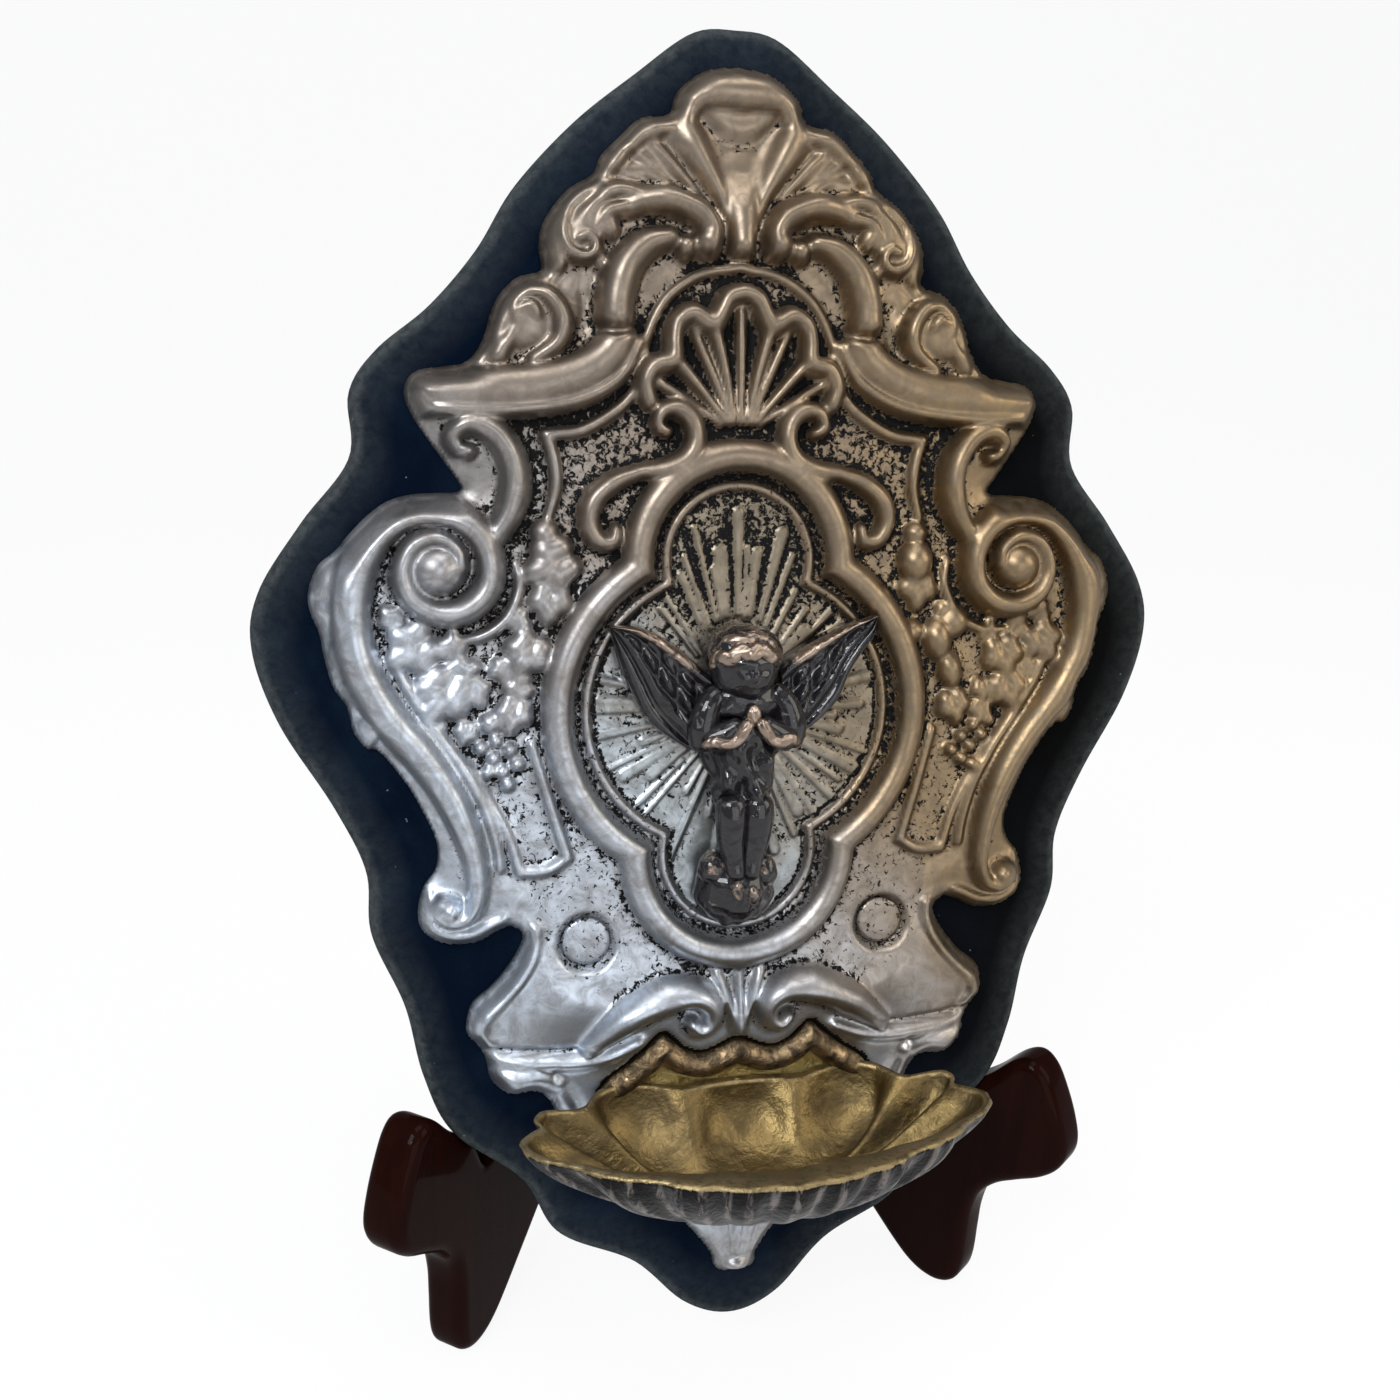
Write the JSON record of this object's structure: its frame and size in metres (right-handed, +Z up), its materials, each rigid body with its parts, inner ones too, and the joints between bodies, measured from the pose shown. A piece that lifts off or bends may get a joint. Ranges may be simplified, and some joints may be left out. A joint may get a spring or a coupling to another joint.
{
  "type": "holy-water stoup",
  "caption": "Repousse silver wall stoup with an applied angel and a gilt shell bowl, on a velvet-covered board in a folding wooden stand.",
  "frame": {"origin": "centre of the bounding box on the floor that the stand's feet rest on", "axes": "+Z up, -Y towards the viewer in front of the plaque, +X to the viewer's right"},
  "size_m": [0.1958, 0.1338, 0.2872],
  "materials": {
    "core_wood": "plain softwood",
    "velvet": "napped velvet",
    "lining_cloth": "matte",
    "silver": "satin, tarnished in the recesses",
    "dark_metal": "blackened, worn at the edges",
    "gilt": "dull gilt",
    "brass": "aged",
    "lacquered_wood": "dark glossy lacquer"
  },
  "bodies": {
    "stand_left": {"stand_leg_left": "lacquered_wood", "hinge_leaf_left": "brass", "hinge_pin": "brass", "hinge_screws_left": "brass"},
    "stand_right": {"stand_leg_right": "lacquered_wood", "hinge_leaf_right": "brass", "hinge_screws_right": "brass"},
    "stoup": {"backing_board": "core_wood", "velvet_cover": "velvet", "back_lining": "lining_cloth", "lining_tacks": "brass", "silver_plaque": "silver", "glory_plate": "silver", "angel_figure": "dark_metal", "angel_studs": "silver", "plaque_nails": "silver", "bowl_shell": "gilt", "bowl_back_plate": "gilt", "bowl_rivets": "gilt", "hanger_plate": "brass", "hanger_screws": "brass"},
    "ring": {"hanging_ring": "brass"}
  },
  "joints": [
    {"name": "stoup_lift", "type": "slide", "parent": "stand_left", "child": "stoup", "axis": [0, -0.5, 0.866], "range_m": [0, 0.22]},
    {"name": "stand_fold", "type": "hinge", "parent": "stand_left", "child": "stand_right", "pos_m": [0, 0.06334, 0.061], "axis": [0, 0, 1], "range_deg": [-72, 0]},
    {"name": "ring_swing", "type": "hinge", "parent": "stoup", "child": "ring", "pos_m": [0, 0.03846, 0.24609], "axis": [1, 0, 0], "range_deg": [-14, 110]}
  ],
  "couplings": [
    {"joint": "stand_fold", "follows": "stoup_lift", "rad_per_m": -5.712}
  ]
}
